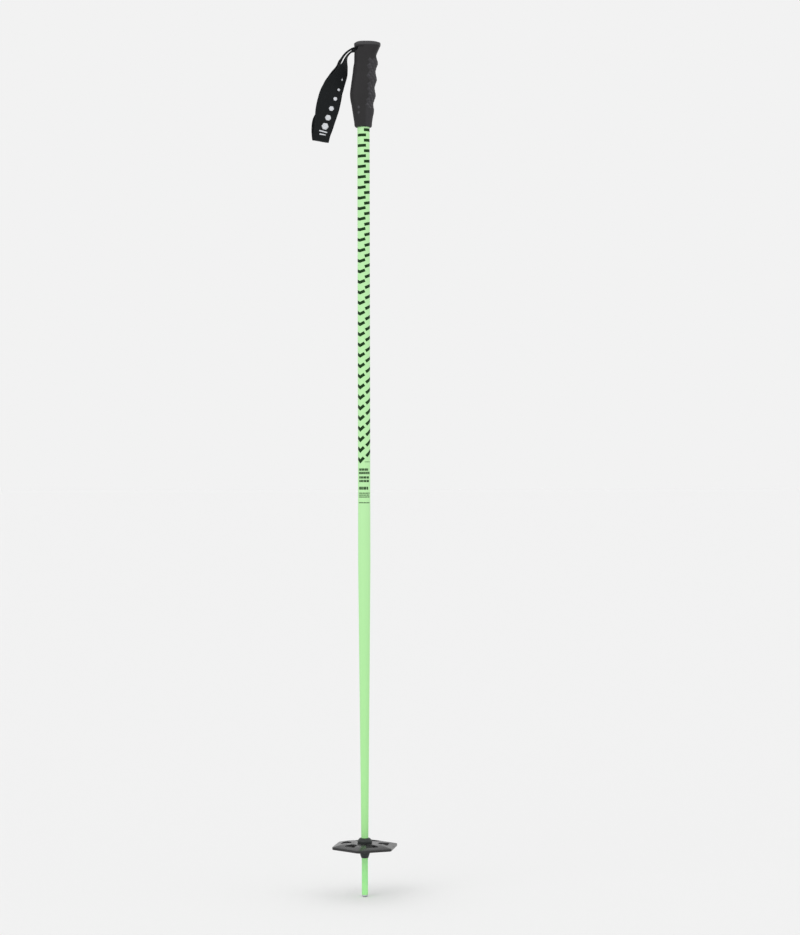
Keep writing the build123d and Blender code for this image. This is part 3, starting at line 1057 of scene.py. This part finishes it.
# Marks on the front layer: height, how far to the side, size; and the bars below them: height, width
STRAP_MARKS = [
    (1197, 5, 3.3),
    (1183.4, 8, 4.5),
    (1167.8, 8.4, 6.1),
    (1152.8, 6, 7.6),
    (1138.9, 3.8, 9),
    (1126, 1.8, 10.4),
]
STRAP_BARS = [(1118.4, 12), (1114.2, 9)]
STRAP_PRINT_LIFT, STRAP_PRINT_HALF = WEBBING / 2 + 0.02, 0.09


def make_strap_marks(ribbon):
    """Six plain hexagons that grow down the front layer, and two plain bars below the last."""
    marks = Joined()

    def mark(height, tall, aside, half_width):
        """One closed thin patch; half_width(t) is its half width at t from 0 to 1 up it."""
        rows, columns = 8, 4
        middle = length_at(ribbon, height)

        def place(i, j, upper):
            t = i / rows
            s = middle - tall / 2 + t * tall
            offset = aside + half_width(t) * (2 * j / columns - 1)
            lift = STRAP_PRINT_LIFT + (STRAP_PRINT_HALF if upper else -STRAP_PRINT_HALF)
            return ribbon.point(s, offset / (ribbon.width(s) / 2), lift)

        marks.add(*thin_patch(rows, columns, place))

    for height, aside, size in STRAP_MARKS:
        mark(height, size * 0.866, aside, lambda t, wide=size: wide * (0.5 - 0.25 * abs(2 * t - 1)))
    for height, wide in STRAP_BARS:
        mark(height, 1.8, 1, lambda t, wide=wide: wide / 2)
    finished(marks.piece("strap_print"), pale_print(), "webbing", "strap")


def stitch(a, b, radius):
    """Points and faces of one short stitch: a small six-sided bead between two points."""
    along = (b - a) / np.linalg.norm(b - a)
    side = np.cross(along, (0.31, 0.87, 0.38))
    side /= np.linalg.norm(side)
    up = np.cross(along, side)
    points = []
    for t, swell in ((0, 0.35), (0.2, 0.9), (0.5, 1), (0.8, 0.9), (1, 0.35)):
        for k in range(6):
            out = cos(pi * k / 3) * side + sin(pi * k / 3) * up
            points.append(a + (b - a) * t + radius * swell * out)
    return points, ring_faces(5, 6, ends=True)


def make_stitches(ribbon):
    """A line of stitches along each edge of the front and back layers, and a bar tack near the top."""
    thread = Joined()
    lift = WEBBING / 2 + 0.05
    stitch_length, pitch, edge = 1.9, 2.7, 0.86
    bottom, top = length_at(ribbon, 1116), length_at(ribbon, 1190)
    for s_low, s_high in ((bottom, top), (ribbon.length - top, ribbon.length - bottom)):
        for v in (-edge, edge):
            for s in np.arange(s_low, s_high, pitch):
                thread.add(*stitch(ribbon.point(s, v, lift), ribbon.point(s + stitch_length, v, lift), 0.22))
    tack = ribbon.length - length_at(ribbon, 1203)
    for row in range(6):
        s = tack + row * 0.8
        for k in range(5):
            v = -0.85 + 0.16 * k
            thread.add(*stitch(ribbon.point(s, v, -lift), ribbon.point(s + 0.5, v + 0.14, -lift), 0.2))
    finished(thread.piece("strap_stitching"), webbing_thread(), "webbing", "strap")


def webbing_thread():
    """Dark thread, a little paler than the webbing."""
    paint = Paint("thread", srgb(40, 42, 44), 0.7, Specular_IOR_Level=0.15)
    twist = paint.streaks((2600, 2600, 2600), 2, 0.5)
    paint.color(paint.mix(paint.remap(twist, 0.35, 0.65), srgb(32, 34, 36), srgb(52, 54, 57)))
    paint.bump(twist, 0.05, 0.5)
    return paint


# ---- basket

BASKET_TURN = radians(19.8)
PLATE_HOLE = 8.6
LIP_WALL = 2.2
PLATEAU = 33
RING_RIB_DEPTH = 4.6
PLATE_SIDES = 180


def hexagon_ring(corner_radius, rounding, height):
    """A rounded hexagon, with the same number of points on each side."""
    per_side = PLATE_SIDES // 6
    angle = (2 * np.arange(per_side) / per_side - 1) * pi / 6
    corner_limit = corner_radius - rounding * (1 / cos(pi / 6) - 1)
    distance = (pi / 6 - abs(angle)) * corner_radius
    ease = np.clip(1 - distance / (rounding * tan(pi / 6)), 0, 1) ** 2
    radius = corner_radius * cos(pi / 6) / np.cos(angle) * (1 - ease) + corner_limit * ease
    turns = [BASKET_TURN + pi / 6 + side * pi / 3 + angle for side in range(6)]
    return round_ring(np.tile(radius, 6), np.concatenate(turns), height)


def make_plate():
    """Six-sided dish with a sloping skirt, a turned-down lip, six windows and ribs."""
    corner = plate_high.x / cos(BASKET_TURN) + 0.65
    inner = corner - LIP_WALL
    top, bottom = plate_high.z, plate_low.z
    under, rim_top = top - PLATE_WALL, top - SLOPE_DROP
    # radius, corner rounding (0 for a circle), height
    profile = [
        (PLATE_HOLE, 0, top), (PLATE_HOLE + 2, 0, top), (PLATEAU - 0.5, 3, top),
        (PLATEAU + 0.5, 3, top - 0.1), (corner - 0.6, 4.5, rim_top + 0.08),
        (corner - 0.15, 4.5, rim_top - 0.15), (corner, 4.5, rim_top - 0.6), (corner, 4.5, bottom + 0.5),
        (corner - 0.3, 4.4, bottom + 0.1), (corner - 0.7, 4.3, bottom), (inner + 0.4, 3.6, bottom),
        (inner, 3.5, bottom + 0.4), (inner, 3.5, rim_top - PLATE_WALL - 0.3),
        (inner - 0.5, 3.4, rim_top - PLATE_WALL + 0.1), (PLATEAU + 0.3, 3, under - 0.08),
        (PLATEAU - 0.7, 3, under), (19.4, 0, under), (19.2, 0, under - RING_RIB_DEPTH),
        (18, 0, under - RING_RIB_DEPTH), (17.8, 0, under), (PLATE_HOLE + 2, 0, under),
        (PLATE_HOLE, 0, under),
    ]
    angles = BASKET_TURN + 2 * pi * np.arange(PLATE_SIDES) / PLATE_SIDES
    rings = [hexagon_ring(*row) if row[1] else round_ring(row[0], angles, row[2]) for row in profile]
    piece = make_mesh("basket_dish", np.concatenate(rings), ring_faces(len(rings), PLATE_SIDES, loop=True))
    for k in range(6):
        cut(piece, window_cutter(BASKET_TURN + pi / 6 + k * pi / 3))
    bevel(piece, 0.3, 2, 40)
    finished(piece, smoky_plastic(), "basket_plastic", "basket", "basket_plate")
    make_ribs(under, inner)


def out_and_aside(angle):
    """Unit vectors away from the pole's axis and round it."""
    return np.array(((cos(angle), sin(angle), 0), (-sin(angle), cos(angle), 0)))


def window_cutter(middle):
    """Prism with rounded corners that cuts one window of the basket."""
    inner, outer, inner_half, outer_half, rounding = 20, 35, 5.5, 10, 2
    corners = [(inner, -inner_half), (outer, -outer_half), (outer, outer_half), (inner, inner_half)]
    path = np.array(rounded_profile([(*corner, rounding) for corner in corners], 5))
    flat = path @ out_and_aside(middle)[:, :2]
    return prism(np.concatenate([level(flat, z) for z in (plate_low.z - 5, plate_high.z + 5)]))


def make_ribs(under, reach):
    """Thin ribs under the plate, from the hub to the corners, each a tapered blade."""
    ribs = Joined()
    slope, sunk = 32, 3.3
    # distance from the axis, depth, half thickness
    stations = ((10.6, 4.4, 0.8), (20, RING_RIB_DEPTH, 0.75), (slope, 4.4, 0.7), (reach - 0.4, 1.6, 0.6))
    for k in range(6):
        along, side = out_and_aside(BASKET_TURN + k * pi / 3)
        points = []
        for r, depth, half in stations:
            sink = 0 if r < slope else sunk * (r - slope) / (reach - slope)
            for offset, drop in ((-half, -0.05), (half, -0.05), (half * 0.6, depth), (-half * 0.6, depth)):
                points.append(along * r + side * offset + np.array((0, 0, under - sink - drop)))
        ribs.add(points, ring_faces(4, 4, ends=True))
    piece = ribs.piece("basket_ribs", smooth=False)
    bevel(piece, 0.2, 2, 30)
    finished(piece, smoky_plastic(), "basket_plastic", "basket")


def make_hub():
    """Black hub: domed collar above the plate, steps below it and a snap rib in its bore."""
    top, under = plate_high.z, plate_high.z - PLATE_WALL
    bore, bore_top, rib_bore = 4.17, FOOT_RADIUS + 0.14, 3.77
    rib_low, rib_high = 66.3, 68.7
    step = shaft_low.z - 0.3
    gap = 0.02
    neck, waist, wide = PLATE_HOLE - 0.05, 7.4, hub_high.x
    profile = [
        (bore, hub_low.z, 0.2), (5.3, hub_low.z, 0.4), (waist, 63.6, 1.2), (waist, under - 2.4, 0.2),
        (wide, under - 1.7, 0.3), (wide, under - gap, 0.1), (neck, under - gap, 0),
        (neck, top + gap, 0), (wide - 0.2, top + gap, 0.2), (wide - 0.2, top + 1, 0.3),
        (wide, top + 1.6, 0.4), (wide, 82.2, 1.8), (7.6, 85.6, 1.6), (6.2, hub_high.z, 0.5),
        (bore_top, hub_high.z, 0.15), (bore_top, step, 0), (bore, step, 0), (bore, rib_high, 0),
        (rib_bore, rib_high, 0.2), (rib_bore, rib_low, 0.2), (bore, rib_low, 0),
    ]
    plastic = moulded_black("hub_plastic", HUB_BLACK, 0.42)
    finished(lathe("basket_collar", profile), plastic, "hub_plastic", "basket", "basket_hub")


# ---- stage


def make_stage():
    """Pale floor, pale surroundings and soft light from the camera's side."""
    size = 60
    corners = [(-size, -size, 0), (size, -size, 0), (size, size, 0), (-size, size, 0)]
    mesh = bpy.data.meshes.new("floor")
    mesh.from_pydata(corners, [], [(0, 1, 2, 3)])
    floor = in_scene("floor", mesh)
    Paint("pale_floor", (0.813, 0.813, 0.813), 0.9, Specular_IOR_Level=0.1).on(floor)
    world = bpy.data.worlds.new("studio")
    world.use_nodes = True
    world.node_tree.nodes["Background"].inputs["Color"].default_value = (*srgb(242, 242, 242), 1)
    bpy.context.scene.world = world
    for name, strength, spread, turn in (("key", 0.75, 50, (52, 0, -38)), ("fill", 0.35, 70, (60, 0, 55))):
        light = bpy.data.lights.new(name, "SUN")
        light.energy = strength
        light.angle = radians(spread)
        in_scene(name, light).rotation_euler = [radians(a) for a in turn]
    bpy.context.scene.view_settings.view_transform = "Standard"


make_camera()
make_shaft()
make_print()
make_ferrule()
make_tip()
make_core()
make_grip_shell()
make_cap()
make_wedge()
make_strap()
make_plate()
make_hub()
make_stage()
